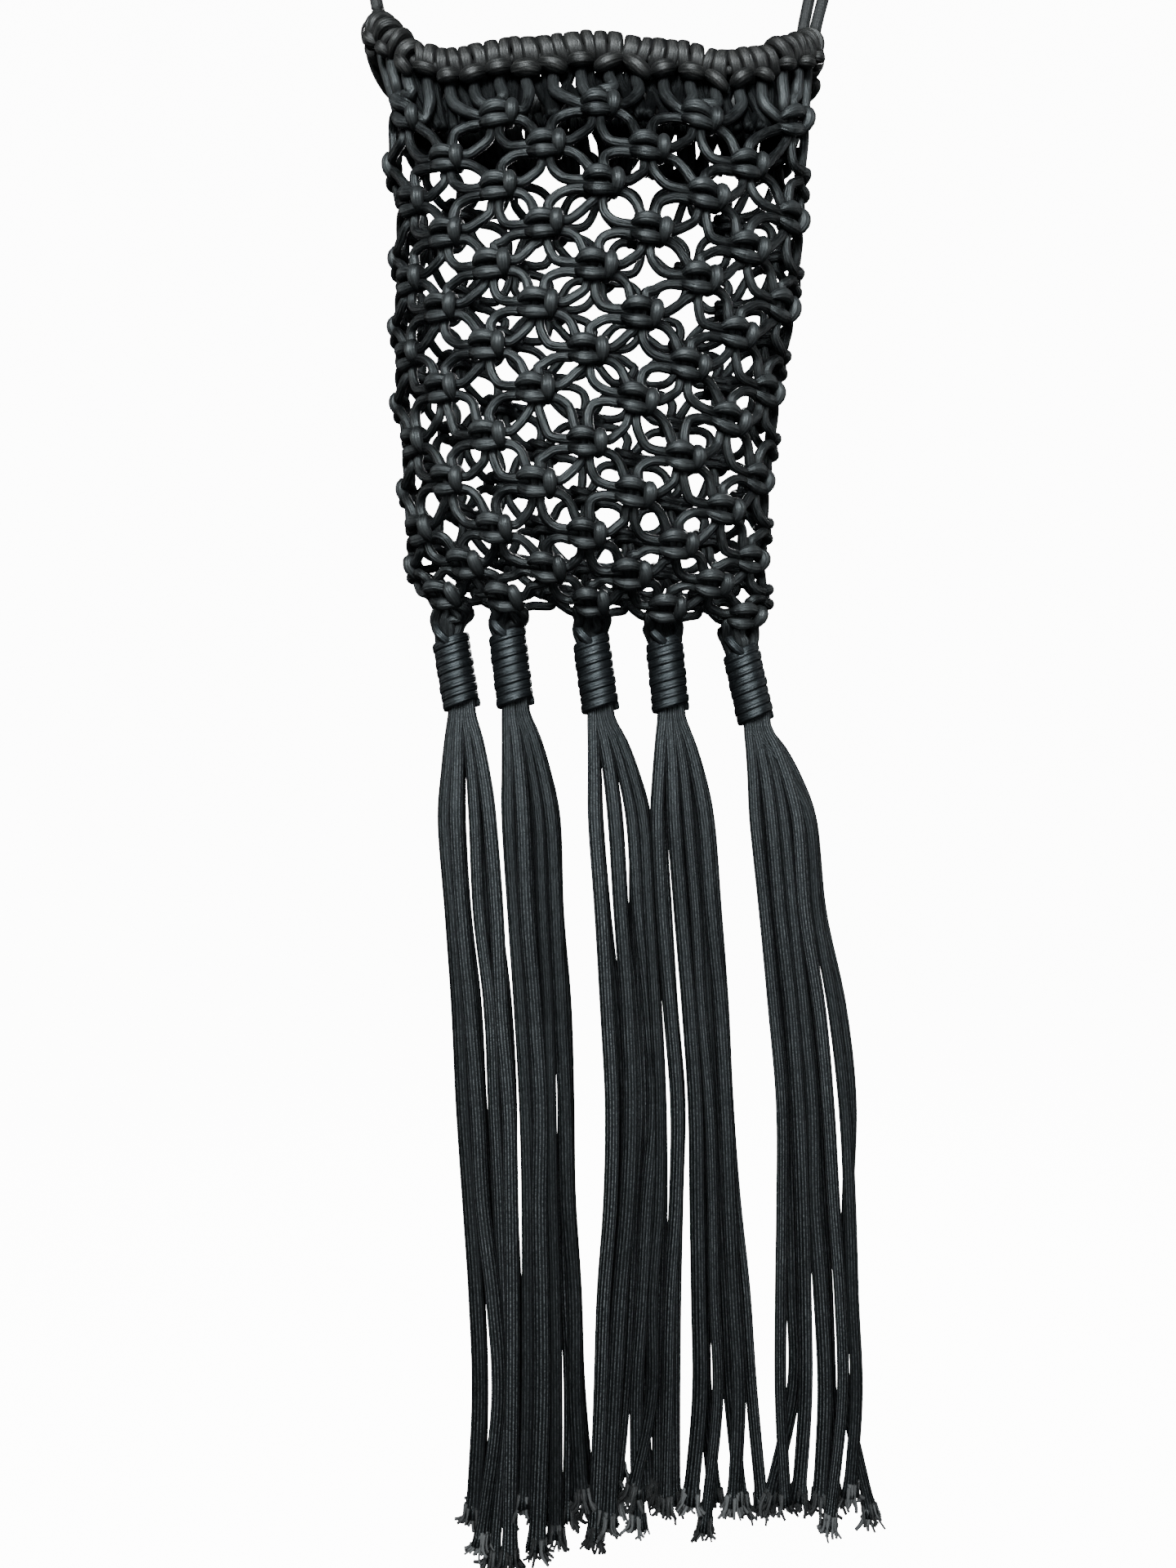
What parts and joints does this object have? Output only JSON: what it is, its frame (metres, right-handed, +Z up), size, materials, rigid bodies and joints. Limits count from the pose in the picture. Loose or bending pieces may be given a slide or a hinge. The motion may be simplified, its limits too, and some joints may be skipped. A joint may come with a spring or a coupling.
{
  "type": "knotted cord shoulder bag",
  "caption": "Open-mouthed hanging bag of knotted black cord with a wound rim, wound tassels of long frayed fringe and a doubled cord strap on split rings.",
  "frame": {"origin": "top of the strap's arch, where the bag hangs", "axes": "+Z up along the hanging bag, -Y out of the bag's front, +X to the right of someone who faces the front"},
  "size_m": [0.2448, 0.0954, 1.1016],
  "materials": {
    "net_cord": "ribbed waxed cotton cord, softly shiny on its crowns",
    "rim_cord": "worn, dusty waxed cotton cord",
    "strap_cord": "fine braided cord, matt",
    "ring_wire": "black, satin",
    "binding_cord": "ribbed waxed cotton cord wound tight",
    "fringe_cord": "matt ribbed cotton cord with frayed ends"
  },
  "bodies": {
    "root": {"net": "net_cord", "rim": "rim_cord", "strap": "strap_cord", "strap_ring_left": "ring_wire", "strap_ring_right": "ring_wire", "tassel_binding_1": "binding_cord", "tassel_binding_2": "binding_cord", "tassel_binding_3": "binding_cord", "tassel_binding_4": "binding_cord", "tassel_binding_5": "binding_cord", "fringe_1": "fringe_cord", "fringe_2": "fringe_cord", "fringe_3": "fringe_cord", "fringe_4": "fringe_cord", "fringe_5": "fringe_cord"}
  },
  "joints": []
}
